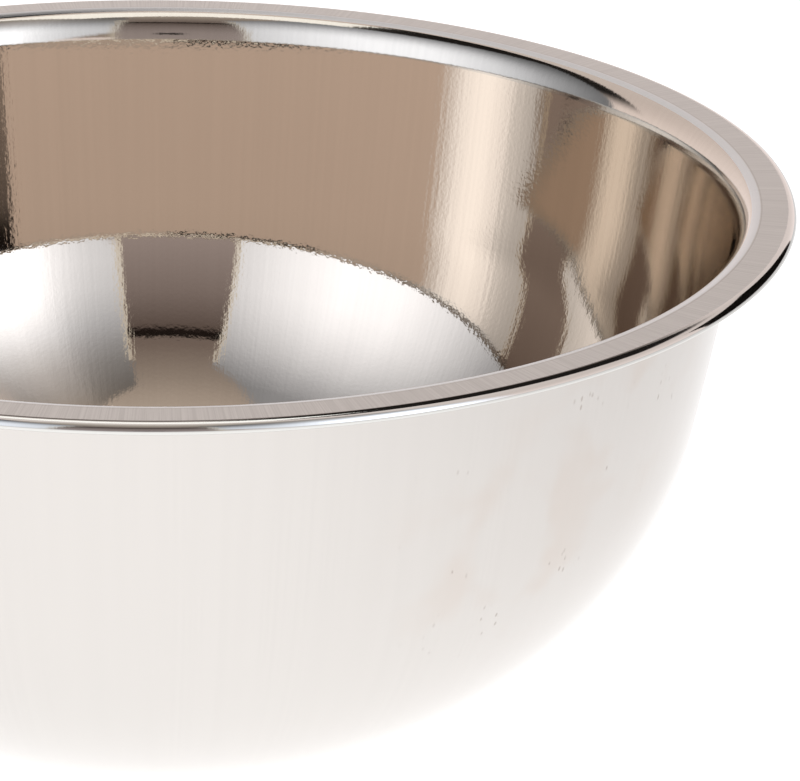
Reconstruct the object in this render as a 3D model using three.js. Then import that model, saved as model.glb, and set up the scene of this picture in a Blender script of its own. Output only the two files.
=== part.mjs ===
// Deep stainless-steel mixing bowl. It is one disc of sheet steel, drawn into a round bowl with a
// flat base, flared at its neck into a flat flange, and curled under at its outer edge. Nothing is
// welded or fitted to it, so it is one solid.
// Millimetres, +Z up. The origin is on the bowl's axis, on the plane that its base rests on.
import * as THREE from "three";

// ---- Driving dimensions -------------------------------------------------------------------------

const rimRadius = 166; // axis to the outside of the curled edge
const height = 141.8; // resting plane to the top of the flange
const sheet = 0.8; // thickness of the steel all over

// Radii of the inside face where it is hollow, and of the top face where it is rounded over.
const baseCrease = { radius: 9.2, slope: 8.5 }; // soft edge of the flat base, and the slope it leads to
const corner = { radius: 104.4, slope: 79.2 }; // the big round between base and wall
const wallTopSlope = 81.5; // the wall stands a little steeper at its top than at its bottom
const neck = [
  { radius: 17.5, slope: 73 }, // the wall begins to flare
  { radius: 10.5, slope: 45 }, // and flares faster
  { radius: 4.3, slope: 0 }, // then turns over onto the flange
];
const flangeWidth = 8.1; // flat ring between the neck's last bend and the curled edge
const curl = { radius: 1.35, turn: 270 }; // outside radius of the curled edge, and how far it is rolled

// Fineness of the facets
const facetsRound = 76;
const steps = { crease: 1, corner: 10, wall: 2, neck: [2, 4, 4], curl: 9 };

// ---- The sheet's path ---------------------------------------------------------------------------

const radians = THREE.MathUtils.degToRad;

// A path is a list of stations along the inside face: a point in the (radius, height) plane and the
// slope of the sheet there, as an angle above level.
const station = (r, z, slope) => ({ r, z, slope });

// Adds an arc that turns the path from its present slope to another one. The path rolls up where the
// slope grows and rolls over where it falls.
function addArc(path, radius, toSlope, count) {
  const start = path.at(-1);
  const side = Math.sign(toSlope - start.slope);
  const along = (slope) => [
    side * radius * Math.sin(slope),
    -side * radius * Math.cos(slope),
  ];
  const [r0, z0] = along(start.slope);
  for (let i = 1; i <= count; i++) {
    const slope = THREE.MathUtils.lerp(start.slope, toSlope, i / count);
    const [r1, z1] = along(slope);
    path.push(station(start.r + r1 - r0, start.z + z1 - z0, slope));
  }
}

// The neck, flange and curled edge, laid out from the top of the wall at (0, 0).
function upperPath() {
  const path = [station(0, 0, radians(wallTopSlope))];
  neck.forEach((bend, i) =>
    addArc(path, bend.radius, radians(bend.slope), steps.neck[i]),
  );
  const flat = path.at(-1);
  path.push(station(flat.r + flangeWidth, flat.z, 0));
  addArc(path, curl.radius, -radians(curl.turn), steps.curl);
  return path;
}

// The flat base's edge, its crease and the big round corner, laid out from the base's edge at (0, 0).
function lowerPath() {
  const path = [station(0, 0, 0)];
  addArc(path, baseCrease.radius, radians(baseCrease.slope), steps.crease);
  addArc(path, corner.radius, radians(corner.slope), steps.corner);
  return path;
}

const moved = (path, r, z) =>
  path.map((s) => station(s.r + r, s.z + z, s.slope));

// The wall joins the two. It is a very flat arc whose ends have the slopes of its neighbours, so its
// chord has their mean slope: its height gives its length, and with it the base's radius.
function innerPath() {
  const upper = upperPath();
  const flangeEnd = upper[upper.length - 1 - steps.curl];
  const top = moved(
    upper,
    rimRadius - curl.radius - flangeEnd.r,
    height - flangeEnd.z,
  );

  const lower = lowerPath();
  const rise = top[0].z - sheet - lower.at(-1).z;
  const meanSlope = radians((corner.slope + wallTopSlope) / 2);
  const halfTurn = radians(wallTopSlope - corner.slope) / 2;
  const chord = rise / Math.sin(meanSlope);
  const baseRadius =
    top[0].r - chord * Math.cos(meanSlope) - lower.at(-1).r;

  const path = moved(lower, baseRadius, sheet);
  addArc(
    path,
    chord / (2 * Math.sin(halfTurn)),
    radians(wallTopSlope),
    steps.wall,
  );
  return [station(0, sheet, 0), ...path, ...top.slice(1)];
}

// ---- The bowl -----------------------------------------------------------------------------------

// The outline runs along the outside face from the axis to the end of the curl, and back along the
// inside face. The outside face is the inside one moved by the sheet's thickness.
function bowlShell() {
  const inner = innerPath();
  const outer = inner.map(
    ({ r, z, slope }) =>
      new THREE.Vector2(
        r + sheet * Math.sin(slope),
        z - sheet * Math.cos(slope),
      ),
  );
  outer[0].x = 0;
  const outline = [
    ...outer,
    ...inner.map(({ r, z }) => new THREE.Vector2(r, z)).reverse(),
  ];
  const shell = new THREE.LatheGeometry(outline, facetsRound);
  shell.rotateX(Math.PI / 2); // a lathe turns about +Y, and the bowl stands along +Z
  return shell;
}

const steel = new THREE.MeshStandardMaterial({
  color: 0xcfc7bf,
  metalness: 1,
  roughness: 0.12,
});

const bowl = new THREE.Group();
const shell = new THREE.Mesh(bowlShell(), steel);
shell.name = "bowl_shell";
bowl.add(shell);

export default bowl;
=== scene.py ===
# %% [markdown]
# # A drawn stainless-steel mixing bowl
# A baker's mixing bowl is pressed out of one disc of sheet steel. A press draws the disc down over a
# punch into a deep round bowl, flares its neck, flattens the last few millimetres into a flange and
# rolls the cut edge under, so that no sharp edge is left to meet a hand. Nothing is welded or riveted
# to it. So this lesson has one piece of metal, and all its work is in two things: a true curve for the
# sheet, and a steel finish that changes from the polished inside to the brushed flange.
#
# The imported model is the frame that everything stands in: metres, +Z up, the bowl's axis on Z and the
# plane that it rests on at zero.

import math

import bpy
from mathutils import Matrix, Vector


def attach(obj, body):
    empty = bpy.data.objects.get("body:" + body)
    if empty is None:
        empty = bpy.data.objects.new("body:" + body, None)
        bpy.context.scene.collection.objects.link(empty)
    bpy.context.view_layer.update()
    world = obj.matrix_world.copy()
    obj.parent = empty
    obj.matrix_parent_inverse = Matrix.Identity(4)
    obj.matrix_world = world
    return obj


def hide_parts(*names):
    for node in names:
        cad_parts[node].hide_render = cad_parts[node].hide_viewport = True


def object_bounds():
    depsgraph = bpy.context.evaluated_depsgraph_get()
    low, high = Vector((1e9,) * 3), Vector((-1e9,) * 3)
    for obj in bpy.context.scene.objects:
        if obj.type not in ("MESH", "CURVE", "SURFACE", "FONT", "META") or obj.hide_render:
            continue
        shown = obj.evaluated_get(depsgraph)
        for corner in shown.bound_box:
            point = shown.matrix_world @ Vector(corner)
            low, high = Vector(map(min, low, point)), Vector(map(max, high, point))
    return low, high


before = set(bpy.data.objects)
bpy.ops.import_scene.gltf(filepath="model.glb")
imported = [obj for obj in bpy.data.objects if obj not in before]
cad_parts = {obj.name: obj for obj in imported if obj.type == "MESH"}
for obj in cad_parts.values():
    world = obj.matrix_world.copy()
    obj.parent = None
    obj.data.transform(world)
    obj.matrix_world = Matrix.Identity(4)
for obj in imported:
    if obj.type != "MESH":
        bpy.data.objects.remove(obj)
cad_low, cad_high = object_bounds()
MM = 0.001
print("nodes in the frame:", sorted(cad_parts))
print("size in mm:", [round((b - a) / MM, 1) for a, b in zip(cad_low, cad_high)])

# %% [markdown]
# ## The camera
# The camera comes first, so that each step can be looked at. It stands a little under a metre away and
# looks down into the bowl at about 22 degrees, through a long lens, which keeps the round rim from
# looking stretched. It is turned to one side, so that the bowl runs out of the left of the frame, and
# tipped by a degree or two, because a camera that is turned aside sees a level rim lean a little.

# %% Place the camera
CAMERA_PLACE = (0.0, -0.9223, 0.4611)
LENS_LENGTH = 167.27
SENSOR_WIDTH = 36
LOOKS_DOWN = math.radians(22.323)
TURNED_RIGHT = math.radians(3.980)
TIPPED = math.radians(1.404)


def turned(angle, axis):
    return Matrix.Rotation(angle, 4, axis)


bpy.ops.object.select_all(action="DESELECT")
bpy.ops.object.camera_add(location=CAMERA_PLACE)
camera = bpy.context.object
camera.name = "camera"
camera.rotation_euler = (
    turned(-TURNED_RIGHT, "Z") @ turned(math.pi / 2 - LOOKS_DOWN, "X") @ turned(TIPPED, "Z")
).to_euler()
camera.data.lens = LENS_LENGTH
camera.data.sensor_width = SENSOR_WIDTH
camera.data.clip_end = 60
bpy.context.scene.camera = camera
print("camera looks down by", round(math.degrees(LOOKS_DOWN), 1), "degrees")

# %% [markdown]
# ## The line of the sheet
# A bowl like this is drawn on paper as half of its section: one line from the middle of the base to the
# cut edge. Along that line the sheet is either straight or bent to a radius, and each bend starts with
# the slope that the last one ended with. That is what makes a pressed surface look smooth, because
# polished steel shows every kink as a broken reflection. So the line is kept as a list of points, and
# one small function adds a bend to it: a radius, and the slope to turn to.

# %% Bends and straights
SHEET = 0.8 * MM


def add_bend(line, radius, to_slope, steps):
    """Adds a bend to the line. Each entry is (distance from the axis, height, slope in degrees)."""
    r0, z0, slope = line[-1]
    side = 1 if to_slope > slope else -1
    first = math.radians(slope)
    for i in range(1, steps + 1):
        now = slope + (to_slope - slope) * i / steps
        a = math.radians(now)
        r = r0 + side * radius * (math.sin(a) - math.sin(first))
        z = z0 - side * radius * (math.cos(a) - math.cos(first))
        line.append((r, z, now))


def shifted(line, dr, dz):
    return [(r + dr, z + dz, slope) for r, z, slope in line]


# %% [markdown]
# The top of the line is laid out from the frame's own size: the rolled edge touches the widest circle,
# and the flange touches the highest plane. The neck flares in three bends, each tighter than the one
# before. The edge is then turned down in a broad lip, and its last millimetres are curled under it,
# which makes three quarters of a turn in all.

# %% The neck, flange and rolled edge
RIM_RADIUS = cad_high.x
HEIGHT = cad_high.z
WALL_TOP_SLOPE = 81.5
NECK_BENDS = ((17.5 * MM, 73, 5), (10.5 * MM, 45, 12), (4.3 * MM, 0, 16))
FLANGE_WIDTH = 7.2 * MM
LIP = (2.3 * MM, -75, 12)
CURL = (0.95 * MM, -270, 16)

top = [(0.0, 0.0, WALL_TOP_SLOPE)]
for radius, slope, steps in NECK_BENDS:
    add_bend(top, radius, slope, steps)
neck_end = top[-1][0]
for share in (0.06, 0.35, 0.65, 0.94, 1.0):
    top.append((neck_end + share * FLANGE_WIDTH, top[-1][1], 0.0))
flange_edge, flange_level = top[-1][:2]
add_bend(top, *LIP)
add_bend(top, *CURL)
outwards = RIM_RADIUS - max(r for r, z, slope in top)
top = shifted(top, outwards, HEIGHT - flange_level)
FLANGE_END = flange_edge + outwards
FLANGE_START = FLANGE_END - FLANGE_WIDTH
print("flange from", round(FLANGE_START / MM, 1), "to", round(FLANGE_END / MM, 1), "mm")

# %% [markdown]
# The bottom is a flat base with a soft crease at its edge, and then one big round corner. Between the
# two goes the wall, which isn't quite straight: it is a very flat bend that starts with the corner's
# slope and ends with the neck's. Its chord has the mean of the two slopes, so the height that is left
# gives its length, and the width that is left gives the radius of the base.

# %% The base, the corner and the wall that joins them
CREASE = (9.2 * MM, 8.5, 4)
CORNER = (104.4 * MM, 79.2, 44)
WALL_STEPS = 14

bottom = [(0.0, 0.0, 0.0)]
add_bend(bottom, *CREASE)
add_bend(bottom, *CORNER)

rise = top[0][1] - SHEET - bottom[-1][1]
mean_slope = math.radians((CORNER[1] + WALL_TOP_SLOPE) / 2)
chord = rise / math.sin(mean_slope)
BASE_RADIUS = top[0][0] - chord * math.cos(mean_slope) - bottom[-1][0]

line = shifted(bottom, BASE_RADIUS, SHEET)
half_turn = math.radians(WALL_TOP_SLOPE - CORNER[1]) / 2
add_bend(line, chord / (2 * math.sin(half_turn)), WALL_TOP_SLOPE, WALL_STEPS)
flat = [(share * BASE_RADIUS, SHEET, 0.0) for share in (0.0, 0.3, 0.65, 0.92)]
line = flat + line + top[1:]
print("points on the line:", len(line), " base radius in mm:", round(BASE_RADIUS / MM, 2))

# %% [markdown]
# ## The bowl
# There are two usual ways to make a turned shape: a Screw modifier on a curve, or the Spin tool on a
# drawn line. Spin is used here, because it leaves a plain mesh that can be worked on at once. A plane
# is added and merged to its middle, which leaves one vertex on the axis. That vertex is extruded from
# point to point along the line, and the line is spun once round. Spinning leaves two meeting edges and
# a heap of vertices at the middle of the base, so its doubles are merged, and its faces are turned the
# same way before the sheet is given its thickness.

# %% Draw the line and spin it
SPIN_STEPS = 288
MERGE_WITHIN = 0.002 * MM

bpy.ops.object.select_all(action="DESELECT")
bpy.ops.mesh.primitive_plane_add(size=MM, location=(0, 0, SHEET))
bowl = bpy.context.object
bowl.name = "mixing_bowl"
bpy.ops.object.transform_apply(location=True, rotation=True, scale=True)
bpy.ops.object.mode_set(mode="EDIT")
bpy.ops.mesh.select_all(action="SELECT")
bpy.ops.mesh.merge(type="CENTER")
for here, there in zip(line, line[1:]):
    step = (there[0] - here[0], 0, there[1] - here[1])
    bpy.ops.mesh.extrude_vertices_move(TRANSFORM_OT_translate={"value": step})
bpy.ops.mesh.select_all(action="SELECT")
bpy.ops.mesh.spin(steps=SPIN_STEPS, angle=math.tau, center=(0, 0, 0), axis=(0, 0, 1))
bpy.ops.mesh.select_all(action="SELECT")
bpy.ops.mesh.remove_doubles(threshold=MERGE_WITHIN)
bpy.ops.mesh.normals_make_consistent(inside=False)
bpy.ops.object.mode_set(mode="OBJECT")
print("sheet:", len(bowl.data.vertices), "vertices,", len(bowl.data.polygons), "faces")

# %% [markdown]
# The spun sheet is the inside face of the steel, so its faces should look up out of the base. The
# thickness is then laid on behind it with Solidify. Even thickness keeps the sheet 0.8 mm thick round
# the tight rolled edge too.

# %% Give the sheet its thickness
SHARP_ABOVE = math.radians(40)
middle = min(bowl.data.polygons, key=lambda face: face.center.length)
if middle.normal.z < 0:
    bpy.ops.object.mode_set(mode="EDIT")
    bpy.ops.mesh.select_all(action="SELECT")
    bpy.ops.mesh.flip_normals()
    bpy.ops.object.mode_set(mode="OBJECT")

thickness = bowl.modifiers.new("thickness", "SOLIDIFY")
thickness.thickness = SHEET
thickness.offset = -1
thickness.use_even_offset = True
bpy.ops.object.modifier_apply(modifier=thickness.name)
bpy.ops.object.shade_smooth_by_angle(angle=SHARP_ABOVE)
triangles = sum(len(face.vertices) - 2 for face in bowl.data.polygons)
print("bowl:", triangles, "triangles")

# %% [markdown]
# ## Helpers for the finishes
# A finish is a tree of nodes. These few helpers add a node, set what is plain and link what varies, so
# that each material below reads as a short list.

# %% Node helpers
def colour(red, green, blue):
    """A screen colour, 0 to 255, as the linear values that the shaders work in."""
    return tuple(((c / 255 + 0.055) / 1.055) ** 2.4 for c in (red, green, blue)) + (1.0,)


def add_node(tree, kind, **settings):
    node = tree.nodes.new(kind)
    for name, value in settings.items():
        setattr(node, name, value)
    return node


def plug(tree, node, values):
    """Sets a node's inputs: a socket is linked, anything else is its plain value."""
    for name, value in values.items():
        if isinstance(value, bpy.types.NodeSocket):
            tree.links.new(value, node.inputs[name])
        else:
            node.inputs[name].default_value = value


def maths(tree, operation, *values, clamp=False):
    node = add_node(tree, "ShaderNodeMath", operation=operation, use_clamp=clamp)
    plug(tree, node, dict(enumerate(values)))
    return node.outputs[0]


def smooth_step(tree, value, low, high):
    """0 below low, 1 above high, and a soft change between them."""
    node = add_node(tree, "ShaderNodeMapRange", interpolation_type="SMOOTHSTEP")
    plug(tree, node, {"Value": value, "From Min": low, "From Max": high})
    return node.outputs["Result"]


def blend_colours(tree, share, first, second):
    node = add_node(tree, "ShaderNodeMix", data_type="RGBA")
    plug(tree, node, {0: share, 6: first, 7: second})
    return node.outputs[2]


# %% [markdown]
# ## The studio
# Polished steel has hardly any colour of its own: it is a picture of the room. So the room is part of
# the finish. It is a plain studio: a pale floor that glows, two big soft boxes on either side of the
# camera, a dim gap between them where the camera stands, a pale backdrop all round, a beige ceiling and
# two black cloths. They are far away compared with the bowl, so they are drawn on the world itself, as
# patches of the sky given by compass direction and height above the horizon. Direction counts from the
# camera's side, with plus to its right.

# %% Directions in the world
world = bpy.data.worlds.new("studio")
bpy.context.scene.world = world
world.use_nodes = True
sky = world.node_tree
sky.nodes.clear()
seen = add_node(sky, "ShaderNodeTexCoord").outputs["Generated"]
parts = add_node(sky, "ShaderNodeSeparateXYZ")
plug(sky, parts, {0: seen})
towards = maths(sky, "ARCTAN2", parts.outputs[0], maths(sky, "MULTIPLY", parts.outputs[1], -1.0))
azimuth = maths(sky, "DEGREES", towards)
elevation = maths(sky, "DEGREES", maths(sky, "ARCSINE", parts.outputs[2]))
print("world:", world.name)


# %% Helpers for the sky
def panel(left, right, bottom, top, soft=1.0, soft_top=None):
    """The share of each direction that a panel covers, with soft sides. Angles in degrees."""
    fade = soft if soft_top is None else soft_top
    sides = (
        smooth_step(sky, azimuth, left - soft / 2, left + soft / 2),
        maths(sky, "SUBTRACT", 1.0, smooth_step(sky, azimuth, right - soft / 2, right + soft / 2)),
        smooth_step(sky, elevation, bottom - soft / 2, bottom + soft / 2),
        maths(sky, "SUBTRACT", 1.0, smooth_step(sky, elevation, top - fade / 2, top + fade / 2)),
    )
    mask = sides[0]
    for side in sides[1:]:
        mask = maths(sky, "MULTIPLY", mask, side)
    return mask


def graded(value, low, high, stops):
    """A colour that changes along a value, from stops of (value, colour)."""
    node = add_node(sky, "ShaderNodeValToRGB")
    span = add_node(sky, "ShaderNodeMapRange")
    plug(sky, span, {"Value": value, "From Min": low, "From Max": high})
    plug(sky, node, {"Fac": span.outputs["Result"]})
    ramp = node.color_ramp
    places = [((at - low) / (high - low), shade) for at, shade in stops]
    ramp.elements[0].position, ramp.elements[0].color = places[0]
    ramp.elements[1].position, ramp.elements[1].color = places[-1]
    for at, shade in places[1:-1]:
        ramp.elements.new(at).color = shade
    return node.outputs["Color"]


def cool(level):
    """A linear grey with the blue cast of a flash."""
    return (level, level * 1.05, level * 1.16, 1.0)


def grey(level, warm=0.0):
    """A linear grey, warmed by taking some green and more blue away."""
    return (level, level * (1 - warm), level * (1 - 2 * warm), 1.0)


# %% [markdown]
# The backdrop is pinkish white all round, and lightest near the horizon. A beige ceiling hangs in
# front, over the gap between the boxes, and gets lighter upwards.

# %% Backdrop and ceiling
BLACK = (0.014, 0.012, 0.011, 1.0)
backdrop_shade = graded(elevation, 0, 90, (
    (0, (0.98, 0.86, 0.83, 1.0)),
    (12, (0.88, 0.77, 0.74, 1.0)),
    (20, (0.80, 0.70, 0.67, 1.0)),
    (30, (0.74, 0.65, 0.62, 1.0)),
    (45, (0.74, 0.66, 0.63, 1.0)),
    (65, (0.79, 0.71, 0.68, 1.0)),
    (90, (0.80, 0.72, 0.69, 1.0)),
))
ceiling = graded(elevation, 40, 75, (
    (40, (0.18, 0.146, 0.132, 1.0)),
    (47, (0.19, 0.152, 0.137, 1.0)),
    (58, (0.32, 0.275, 0.245, 1.0)),
    (64, (0.42, 0.365, 0.325, 1.0)),
    (75, (0.54, 0.49, 0.44, 1.0)),
))
look = blend_colours(sky, panel(-50, 50, 30, 80, soft=4), backdrop_shade, ceiling)
print("backdrop and ceiling drawn with", len(sky.nodes), "nodes")

# %% [markdown]
# A black cloth stands at the left box's far end and leans over the top of it. It is what draws the fine
# black line along the neck. A second one hangs high behind the right side, and draws a line along the
# lip at the front.

# %% The black cloths
lean_in = maths(sky, "MULTIPLY_ADD", elevation, 0.5, azimuth)
leaning_edge = smooth_step(sky, lean_in, -94.5, -91.5)
over_box = maths(sky, "MULTIPLY", panel(-140, -44, 40, 69, soft=3), leaning_edge)
fades_down = smooth_step(sky, elevation, 5, 27)
beside_box = maths(sky, "MULTIPLY", panel(-116, -100, 0, 50, soft=1.5), fades_down)
behind_right = panel(105, 175, 36, 80, soft=5)
for cloth in (over_box, behind_right, beside_box):
    look = blend_colours(sky, cloth, look, BLACK)
print("cloths drawn with", len(sky.nodes), "nodes")

# %% [markdown]
# The soft boxes are brightest in the middle. They fade towards their ends and, because their lamps
# hang low in them, towards their tops. Their top edges slant, so two helpers come first: one cuts a
# slanting edge, and one dims a colour upwards.

# %% Helpers for the boxes
def under(rate, level, soft=3.0):
    """The share of each direction that is under a slanting edge: level + rate * azimuth."""
    edge_at = maths(sky, "MULTIPLY_ADD", azimuth, rate, level)
    return smooth_step(sky, maths(sky, "SUBTRACT", edge_at, elevation), 0, soft)


def dimmed(colour_in, stops):
    """A colour that is dimmed upwards, from stops of (elevation, level, warmth)."""
    node = add_node(sky, "ShaderNodeMix", data_type="RGBA", blend_type="MULTIPLY")
    level = graded(elevation, stops[0][0], stops[-1][0], [(at, grey(*shade)) for at, *shade in stops])
    plug(sky, node, {0: 1.0, 6: colour_in, 7: level})
    return node.outputs[2]


# %% The left soft box
left_glow = graded(azimuth, -105, -15, (
    (-105, cool(0.20)),
    (-100, cool(0.27)),
    (-90, cool(0.46)),
    (-75, cool(0.95)),
    (-60, cool(1.32)),
    (-45, cool(1.37)),
    (-30, cool(1.12)),
    (-20, cool(0.90)),
    (-17, cool(0.84)),
))
left_glow = dimmed(left_glow, (
    (20, 1.0),
    (28, 0.96),
    (34, 0.87),
    (40, 0.73),
    (46, 0.57),
    (52, 0.38),
    (58, 0.23),
    (66, 0.2),
))
left_box = panel(-106, -17.5, -30, 66, soft=1.2)
for slant in (under(0.312, 78.7), under(-0.45, 47.0, soft=4.0)):
    left_box = maths(sky, "MULTIPLY", left_box, slant)
look = blend_colours(sky, left_box, look, left_glow)
print("left box drawn with", len(sky.nodes), "nodes")

# %% [markdown]
# The right box is brighter than the left one. Its outer end fades away slowly, and the corner of it
# nearest to the camera is missing, behind something brown.

# %% The right soft box
BROWN = (0.20, 0.15, 0.11, 1.0)
near_corner = panel(9, 20, 5, 15, soft=3.0, soft_top=4.0)
look = blend_colours(sky, maths(sky, "MULTIPLY", near_corner, 0.8), look, BROWN)

right_glow = graded(azimuth, 9, 70, (
    (9, cool(0.74)),
    (16, cool(0.83)),
    (20, cool(0.93)),
    (25, cool(1.14)),
    (31, cool(1.60)),
    (40, cool(1.90)),
    (48, cool(1.75)),
    (60, cool(1.15)),
    (70, cool(0.80)),
))
right_glow = dimmed(right_glow, (
    (20, 1.0),
    (28, 0.91),
    (34, 0.77),
    (40, 0.60),
    (46, 0.43, 0.02),
    (52, 0.31, 0.05),
    (58, 0.24, 0.08),
    (64, 0.2, 0.13),
))
right_box = panel(9, 61, -30, 67, soft=2.0, soft_top=5.0)
outer_end = smooth_step(sky, azimuth, 68, 50)
cut_corner = smooth_step(sky, maths(sky, "ADD", azimuth, elevation), 20, 28)
slanting_top = under(0.30, 59.0, soft=2.5)
for share in (outer_end, cut_corner, slanting_top):
    right_box = maths(sky, "MULTIPLY", right_box, share)
look = blend_colours(sky, right_box, look, right_glow)
print("right box drawn with", len(sky.nodes), "nodes")

# %% [markdown]
# Between the boxes is the dim room behind the camera, which gets darker upwards and ends in a black
# edge. The cloth frames of the boxes catch some light on either side of it, and the camera's own lens
# is a small black spot.

# %% The gap between the boxes
gap_shade = graded(elevation, 0, 45, (
    (0, colour(166, 155, 154)),
    (12, colour(160, 149, 148)),
    (30, colour(132, 121, 119)),
    (41, colour(98, 87, 83)),
    (42.5, colour(34, 27, 25)),
    (45, colour(24, 20, 18)),
))
FRAME_CLOTH = (0.72, 0.66, 0.56, 1.0)
frames = panel(-18.8, 10.6, -30, 52, soft=0.8)
look = blend_colours(sky, maths(sky, "MULTIPLY", frames, 0.75), look, FRAME_CLOTH)
look = blend_colours(sky, panel(-17.5, 9, -30, 60, soft=1.2), look, ceiling)
gap = panel(-17.5, 9, -30, 44.7, soft=1.2)
look = blend_colours(sky, gap, look, gap_shade)
lens = panel(-4.7, 0.7, 9.2, 12.6, soft=1.0)
look = blend_colours(sky, lens, look, BLACK)
print("gap drawn with", len(sky.nodes), "nodes")

# %% [markdown]
# Seen straight, the world is the same plain pale shade as the floor: only the steel sees the boxes.

# %% Finish the world
PAPER = 0.93
STUDIO = 1.25
straight = add_node(sky, "ShaderNodeLightPath").outputs["Is Camera Ray"]
look = blend_colours(sky, straight, look, grey(PAPER / STUDIO))
backdrop = add_node(sky, "ShaderNodeBackground")
plug(sky, backdrop, {"Color": look, "Strength": STUDIO})
surface = add_node(sky, "ShaderNodeOutputWorld")
plug(sky, surface, {"Surface": backdrop.outputs[0]})
print("the world has", len(sky.nodes), "nodes, at strength", STUDIO)

# %% [markdown]
# ## The floor
# The floor is paper with a painted glow: its emission is a painted pool of light. The outside of the
# bowl slopes in downwards, so it mirrors only the floor around it. The paper glows most in front of the
# bowl, and its glow falls off with distance, which gives the outside its slow change of shade. Seen
# straight, the paper stays plain white. It also catches a little of the studio's light, which leaves a
# soft shade where the bowl stands.

# %% The floor
FLOOR_SIZE = 60.0
BRIGHTEST = (-0.15, -0.20, 0.0)
FALLS = ((0.15, 0.62, 0.70), (0.62, 1.6, 0.68))
bpy.ops.object.select_all(action="DESELECT")
bpy.ops.mesh.primitive_plane_add(size=FLOOR_SIZE)
floor = bpy.context.object
floor.name = "floor"
paper = bpy.data.materials.new("paper_with_painted_glow")
paper.use_nodes = True
tree = paper.node_tree
spot = add_node(tree, "ShaderNodeTexCoord").outputs["Object"]
# Painted pool of light: the emission is strongest near BRIGHTEST and falls off with distance.
from_brightest = add_node(tree, "ShaderNodeVectorMath", operation="DISTANCE")
plug(tree, from_brightest, {0: spot, 1: BRIGHTEST})
level = 1.0
for near, far, least in FALLS:
    fall = add_node(tree, "ShaderNodeMapRange", interpolation_type="SMOOTHSTEP")
    plug(tree, fall, {
        "Value": from_brightest.outputs["Value"],
        "From Min": near,
        "From Max": far,
        "To Min": 1.0,
        "To Max": least,
    })
    level = maths(tree, "MULTIPLY", level, fall.outputs["Result"])
level = maths(tree, "MULTIPLY", level, STUDIO)
straight = add_node(tree, "ShaderNodeLightPath").outputs["Is Camera Ray"]
plug(tree, tree.nodes["Principled BSDF"], {
    "Base Color": (0.32, 0.32, 0.32, 1.0),
    "Roughness": 1.0,
    "Specular IOR Level": 0.0,
    "Emission Color": (1.0, 1.0, 1.0, 1.0),
    "Emission Strength": maths(tree, "MAXIMUM", level, straight),
})
floor.data.materials.append(paper)
print("floor:", FLOOR_SIZE, "m across, brightest at", BRIGHTEST)

# %% [markdown]
# ## The overhead panel
# One flat panel of light hangs just over half a metre above the rim. It is near enough for the far neck
# to mirror it while the lower bowl doesn't, so it has to be a real thing and not a patch of the sky. It
# is a stage object, which the steel mirrors, and the camera doesn't see it.

# %% Hang the panel
def only_mirrored(thing):
    """Hides a stage object from all but reflections."""
    thing.visible_camera = False
    thing.visible_diffuse = False
    thing.visible_shadow = False


PANEL_CENTRE = (-0.023, 0.0115, 0.70)
PANEL_SIZE = (0.355, 0.222)
PANEL_TURN = math.radians(-19)
PANEL_GLOW = 1.3 * STUDIO
bpy.ops.object.select_all(action="DESELECT")
bpy.ops.mesh.primitive_plane_add(size=1, location=PANEL_CENTRE, rotation=(0, 0, PANEL_TURN))
overhead = bpy.context.object
overhead.name = "overhead_panel"
overhead.scale = (*PANEL_SIZE, 1)
bpy.ops.object.transform_apply(location=True, rotation=True, scale=True)
only_mirrored(overhead)
light = bpy.data.materials.new("panel_light")
light.use_nodes = True
plug(light.node_tree, light.node_tree.nodes["Principled BSDF"], {
    "Base Color": (0.0, 0.0, 0.0, 1.0),
    "Specular IOR Level": 0.0,
    "Emission Color": (1.0, 0.985, 0.955, 1.0),
    "Emission Strength": PANEL_GLOW,
})
overhead.data.materials.append(light)
print("panel:", PANEL_SIZE, "m, at a height of", PANEL_CENTRE[2], "m")

# %% [markdown]
# A small black card stands close to the bowl, behind its right side, from the level of the rim up. The
# lip mirrors it as a black crescent.

# %% Stand the card
CARD_ENDS = ((0.197, 0.006), (0.262, -0.066))
CARD_LEVELS = (HEIGHT - 1 * MM, HEIGHT + 62 * MM)
FELT = (0.006, 0.005, 0.004, 1.0)
card_middle = [(a + b) / 2 for a, b in zip(*CARD_ENDS)]
card_run = [b - a for a, b in zip(*CARD_ENDS)]
card_turn = math.atan2(card_run[1], card_run[0])
bpy.ops.object.select_all(action="DESELECT")
bpy.ops.mesh.primitive_plane_add(
    size=1,
    location=(*card_middle, sum(CARD_LEVELS) / 2),
    rotation=(math.pi / 2, 0, card_turn),
)
card = bpy.context.object
card.name = "black_card"
card.scale = (math.hypot(*card_run), CARD_LEVELS[1] - CARD_LEVELS[0], 1)
bpy.ops.object.transform_apply(location=True, rotation=True, scale=True)
only_mirrored(card)
felt = bpy.data.materials.new("black_felt")
felt.use_nodes = True
plug(felt.node_tree, felt.node_tree.nodes["Principled BSDF"], {
    "Base Color": FELT,
    "Roughness": 1.0,
    "Specular IOR Level": 0.0,
})
card.data.materials.append(felt)
print("card:", round(math.hypot(*card_run) / MM), "mm long")

# %% [markdown]
# ## Polish lines
# Bowls are polished by a wheel that runs up and down the wall, so its marks run from the base to the
# rim. They are far too fine to see one by one. What shows is that they shake a reflection sideways and
# leave its edges ragged. The pattern has to be narrow round the bowl and long up the wall. A point's
# direction from the axis, times a number, counts steps round the bowl, and its height and distance from
# the axis, which change slowly, count along the line. One group makes it, and each zone of the bowl
# uses it with its own fineness.

# %% The group of polish lines
def new_group(name, inputs, outputs):
    group = bpy.data.node_groups.new(name, "ShaderNodeTree")
    for label, kind, value in inputs:
        socket = group.interface.new_socket(label, in_out="INPUT", socket_type=kind)
        socket.default_value = value
    for label, kind in outputs:
        group.interface.new_socket(label, in_out="OUTPUT", socket_type=kind)
    return group, group.nodes.new("NodeGroupInput").outputs, group.nodes.new("NodeGroupOutput")


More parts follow.
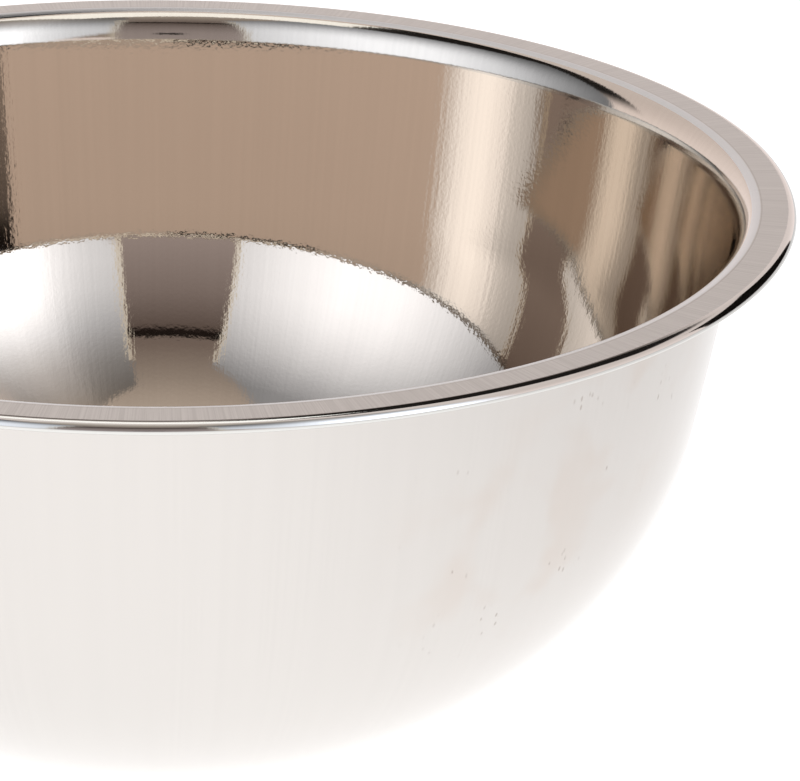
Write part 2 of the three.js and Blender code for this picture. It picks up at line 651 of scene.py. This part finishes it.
FLOAT = "NodeSocketFloat"
lines, given, result = new_group(
    "polish_lines",
    (("Round", FLOAT, 300.0), ("Along", FLOAT, 40.0), ("Detail", FLOAT, 3.0), ("Seed", FLOAT, 0.0)),
    (("Height", FLOAT),),
)
place = add_node(lines, "ShaderNodeTexCoord").outputs["Object"]
axes = add_node(lines, "ShaderNodeSeparateXYZ")
plug(lines, axes, {0: place})
flat_place = add_node(lines, "ShaderNodeCombineXYZ")
plug(lines, flat_place, {0: axes.outputs[0], 1: axes.outputs[1]})
reach = add_node(lines, "ShaderNodeVectorMath", operation="LENGTH")
plug(lines, reach, {0: flat_place.outputs[0]})
aim = add_node(lines, "ShaderNodeVectorMath", operation="NORMALIZE")
plug(lines, aim, {0: flat_place.outputs[0]})
wide = add_node(lines, "ShaderNodeVectorMath", operation="SCALE")
plug(lines, wide, {0: aim.outputs[0], "Scale": given["Round"]})
climb = maths(lines, "ADD", axes.outputs[2], reach.outputs["Value"])
climb = maths(lines, "MULTIPLY_ADD", climb, given["Along"], given["Seed"])
rise_by = add_node(lines, "ShaderNodeCombineXYZ")
plug(lines, rise_by, {2: climb})
where = add_node(lines, "ShaderNodeVectorMath", operation="ADD")
plug(lines, where, {0: wide.outputs[0], 1: rise_by.outputs[0]})
noise = add_node(lines, "ShaderNodeTexNoise")
plug(lines, noise, {"Vector": where.outputs[0], "Scale": 1.0, "Detail": given["Detail"]})
plug(lines, result, {"Height": noise.outputs[0]})
print("group:", lines.name, "with", len(lines.nodes), "nodes")

# %% [markdown]
# ## Steel
# All the zones are the same steel, a warm grey metal, so they share one function. It stacks three
# bumps: the sheet's own faint waves, which are left by the press, then its fine grain, and the polish
# lines on top. A second, longer run of the same lines makes its colour a touch lighter and darker in
# streaks. Only the amount of each, the roughness and the tint differ from zone to zone.

# %% The steel function
def bump(tree, height, depth, below=None):
    node = add_node(tree, "ShaderNodeBump")
    plug(tree, node, {"Strength": 1.0, "Distance": depth, "Height": height})
    if below is not None:
        plug(tree, node, {"Normal": below})
    return node.outputs[0]


def scaled(shade, level):
    return tuple(part * level for part in shade[:3]) + (1.0,)


def steel(name, roughness, tint, lines_depth, round_count, along, waves_depth, grain_depth, streak):
    """One zone's finish. The depths are in metres, and the counts set how fine the lines are."""
    material = bpy.data.materials.new(name)
    material.use_nodes = True
    tree = material.node_tree
    shader = tree.nodes["Principled BSDF"]
    spot = add_node(tree, "ShaderNodeTexCoord").outputs["Object"]

    waves = add_node(tree, "ShaderNodeTexNoise")
    plug(tree, waves, {"Vector": spot, "Scale": 28.0, "Detail": 1.0})
    normal = bump(tree, waves.outputs[0], waves_depth)

    grain = add_node(tree, "ShaderNodeTexNoise")
    plug(tree, grain, {"Vector": spot, "Scale": 900.0, "Detail": 1.0})
    normal = bump(tree, grain.outputs[0], grain_depth, normal)

    fine = add_node(tree, "ShaderNodeGroup", node_tree=lines)
    plug(tree, fine, {"Round": round_count, "Along": along, "Detail": 5.0})
    normal = bump(tree, fine.outputs[0], lines_depth, normal)

    worn = add_node(tree, "ShaderNodeGroup", node_tree=lines)
    plug(tree, worn, {"Round": round_count, "Along": along / 2, "Detail": 4.0, "Seed": 7.0})
    shade = smooth_step(tree, worn.outputs[0], 0.3, 0.7)
    shade = blend_colours(tree, shade, scaled(tint, 1 - streak), scaled(tint, 1 + streak))

    plug(tree, shader, {
        "Metallic": 1.0,
        "Base Color": shade,
        "Roughness": roughness,
        "Normal": normal,
    })
    return material


# %% [markdown]
# The inside and the neck are mirror bright and warm. The bend into the flange is satin, the flange is
# brushed, and the outside is a little duller than the inside, because it is handled more.

# %% The seven finishes
INSIDE_TINT = (0.64, 0.578, 0.508)
NECK_TINT = (0.56, 0.525, 0.475)
BEND_TINT = (0.59, 0.625, 0.64)
FLANGE_TINT = (0.515, 0.52, 0.505)
EDGE_TINT = (0.61, 0.605, 0.585)
OUTSIDE_TINT = (0.584, 0.56, 0.536)
UNDERSIDE_TINT = (0.64, 0.60, 0.56)
# Name: roughness, tint, then in mm or counts: lines, round, along, waves, grain, streak.
FINISHES = {
    "polished_inside": (0.035, INSIDE_TINT, 0.012, 90.0, 12.0, 0.018, 0.009, 0.012),
    "polished_neck": (0.08, NECK_TINT, 0.006, 120.0, 12.0, 0.0, 0.008, 0.015),
    "satin_bend": (0.30, BEND_TINT, 0.010, 300.0, 60.0, 0.0, 0.0, 0.015),
    "brushed_flange": (0.34, FLANGE_TINT, 0.03, 420.0, 60.0, 0.0, 0.0, 0.09),
    "polished_edge": (0.08, EDGE_TINT, 0.002, 300.0, 40.0, 0.0, 0.004, 0.0),
    "polished_outside": (0.14, OUTSIDE_TINT, 0.006, 120.0, 10.0, 0.03, 0.006, 0.006),
    "underside": (0.2, UNDERSIDE_TINT, 0.004, 120.0, 20.0, 0.02, 0.0, 0.0),
}
ZONES = []
for name, (rough, tint, lined, count, along, waved, grained, streak) in FINISHES.items():
    depths = (waved * MM, grained * MM)
    ZONES.append(steel(name, rough, tint, lined * MM, count, along, *depths, streak))
inside, neck, bend, flange, edge, outside, underside = ZONES
print("finishes:", [material.name for material in ZONES])

# %% [markdown]
# ## The end of the brushing
# The flange is brushed outwards from a fine ring, where the brush was set down. The ring is a thin dark
# line in the finish, given by distance from the bowl's axis. Inside it the steel stays smooth.

# %% Helpers for marks, and the inner ring
def mark(material, share, shade):
    """Blends a shade over a material's colour, by a share that changes over the surface."""
    tree = material.node_tree
    shader = tree.nodes["Principled BSDF"]
    below = shader.inputs["Base Color"].links[0].from_socket
    plug(tree, shader, {"Base Color": blend_colours(tree, share, below, shade)})


def ring_share(tree, radius, half_width, soft):
    """The share of a thin ring at a radius, and the socket of the place it is worked out from."""
    place = add_node(tree, "ShaderNodeTexCoord").outputs["Object"]
    level_place = add_node(tree, "ShaderNodeVectorMath", operation="MULTIPLY")
    plug(tree, level_place, {0: place, 1: (1.0, 1.0, 0.0)})
    out_by = add_node(tree, "ShaderNodeVectorMath", operation="LENGTH")
    plug(tree, out_by, {0: level_place.outputs[0]})
    off_ring = maths(tree, "ABSOLUTE", maths(tree, "SUBTRACT", out_by.outputs["Value"], radius))
    return smooth_step(tree, off_ring, half_width + soft, half_width), place


INNER_RING = (FLANGE_START + 0.35 * MM, 0.08 * MM, 0.1 * MM)
ring, place = ring_share(flange.node_tree, *INNER_RING)
mark(flange, maths(flange.node_tree, "MULTIPLY", ring, 0.5), (0.33, 0.32, 0.30, 1.0))
print("inner ring at", round(INNER_RING[0] / MM, 1), "mm from the axis")

# %% [markdown]
# A second ring lies on the outer side, where the brushing meets the polished lip. It is a painted
# reflection: a dark line painted into the lip's colour along the front of the bowl only.

# %% The painted dark reflection at the lip
OUTER_RING_PAINTED_REFLECTION = (FLANGE_END + 0.3 * MM, 0.2 * MM, 0.15 * MM)
ring, place = ring_share(edge.node_tree, *OUTER_RING_PAINTED_REFLECTION)
split = add_node(edge.node_tree, "ShaderNodeSeparateXYZ")
plug(edge.node_tree, split, {0: place})
# Painted reflection: the dark line is kept to the front of the bowl by its place.
along_front = smooth_step(edge.node_tree, split.outputs[1], -0.095, -0.125)
ring = maths(edge.node_tree, "MULTIPLY", ring, along_front)
mark(edge, maths(edge.node_tree, "MULTIPLY", ring, 0.85), (0.05, 0.04, 0.03, 1.0))
print("outer ring at", round(OUTER_RING_PAINTED_REFLECTION[0] / MM, 1), "mm from the axis")

# %% [markdown]
# ## Handling marks
# A bowl that has been stacked and wiped carries a few marks on its outside: a faint warm bloom, and
# clusters of tiny pits where something stood against it. Both are kept to a patch on one side. The
# bloom is one soft noise. The pits are the cells of a Voronoi pattern, drawn out up the wall, which show
# only where a second noise is high.

# %% Marks on the outside
PATCH_TOP = (0.115, -0.095, 0.118)
PATCH_LOW = (0.086, -0.116, 0.090)
PATCH_REACH = 48 * MM
PATCH_CORE = 12 * MM
tree = outside.node_tree
spot = add_node(tree, "ShaderNodeTexCoord").outputs["Object"]
near_patch = 0.0
for middle in (PATCH_TOP, PATCH_LOW):
    gap_to = add_node(tree, "ShaderNodeVectorMath", operation="DISTANCE")
    plug(tree, gap_to, {0: spot, 1: middle})
    closeness = smooth_step(tree, gap_to.outputs["Value"], PATCH_REACH, PATCH_CORE)
    near_patch = maths(tree, "MAXIMUM", near_patch, closeness)
bloom = add_node(tree, "ShaderNodeTexNoise")
plug(tree, bloom, {"Vector": spot, "Scale": 46.0, "Detail": 2.0})
bloom = maths(tree, "MULTIPLY", smooth_step(tree, bloom.outputs[0], 0.46, 0.66), near_patch)
mark(outside, maths(tree, "MULTIPLY", bloom, 0.5), (0.56, 0.50, 0.455, 1.0))
drawn = add_node(tree, "ShaderNodeMapping")
plug(tree, drawn, {"Vector": spot, "Scale": (1.0, 1.0, 0.45)})
cells = add_node(tree, "ShaderNodeTexVoronoi")
plug(tree, cells, {"Vector": drawn.outputs[0], "Scale": 520.0})
pits = smooth_step(tree, cells.outputs["Distance"], 0.26, 0.12)
crowd = add_node(tree, "ShaderNodeTexNoise")
plug(tree, crowd, {"Vector": spot, "Scale": 95.0, "Detail": 1.0})
pits = maths(tree, "MULTIPLY", pits, smooth_step(tree, crowd.outputs[0], 0.58, 0.68))
pits = maths(tree, "MULTIPLY", pits, near_patch)
mark(outside, maths(tree, "MULTIPLY", pits, 0.55), (0.30, 0.24, 0.20, 1.0))
print("pits and bloom lie near", PATCH_TOP, "and", PATCH_LOW)

# %% [markdown]
# ## Zones of the bowl
# The zones are told apart by place and by which way a face looks. A face that looks towards the axis or
# up is on the inside; the flat ring at the very top is the flange, and all that lies beyond it is the
# rolled edge, with the hidden faces that curl back under the flange.

# %% Give each face its zone
NECK_START = top[0][1]
BEND_SLOPE = math.radians(32)
CURL_DEPTH = 1.0 * MM
LEVEL_WITHIN = 0.02 * MM
for finish in ZONES:
    bowl.data.materials.append(finish)


def zone(face):
    place = Vector((face.center.x, face.center.y, 0))
    away = face.normal.dot(place.normalized()) if place.length > 0 else 0
    on_top = face.center.z > HEIGHT - LEVEL_WITHIN
    if place.length > FLANGE_END:
        return edge
    if on_top and place.length > FLANGE_START:
        return flange
    below_flange = face.center.z < HEIGHT - SHEET - LEVEL_WITHIN
    if place.length > FLANGE_END - CURL_DEPTH and below_flange:
        return edge
    if away < -0.05 or face.normal.z > 0.9:
        if face.center.z < NECK_START:
            return inside
        return bend if face.normal.z > math.cos(BEND_SLOPE) else neck
    if face.center.z < 0.2 * MM:
        return underside
    return outside


for face in bowl.data.polygons:
    face.material_index = ZONES.index(zone(face))
counts = [sum(face.material_index == i for face in bowl.data.polygons) for i in range(len(ZONES))]
print("faces in each zone:", dict(zip([finish.name for finish in ZONES], counts)))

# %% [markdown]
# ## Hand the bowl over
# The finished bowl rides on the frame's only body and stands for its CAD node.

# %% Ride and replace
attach(bowl, "root")
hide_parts("bowl_shell")

# %% [markdown]
# ## Settings of the scene
# The picture is shown with the Standard view, which keeps a pale floor pale. Light crosses the inside
# of a polished bowl many times, so the glossy bounces are raised.

# %% Scene settings
scene = bpy.context.scene
scene.view_settings.view_transform = "Standard"
scene.cycles.glossy_bounces = 18
scene.cycles.max_bounces = 20
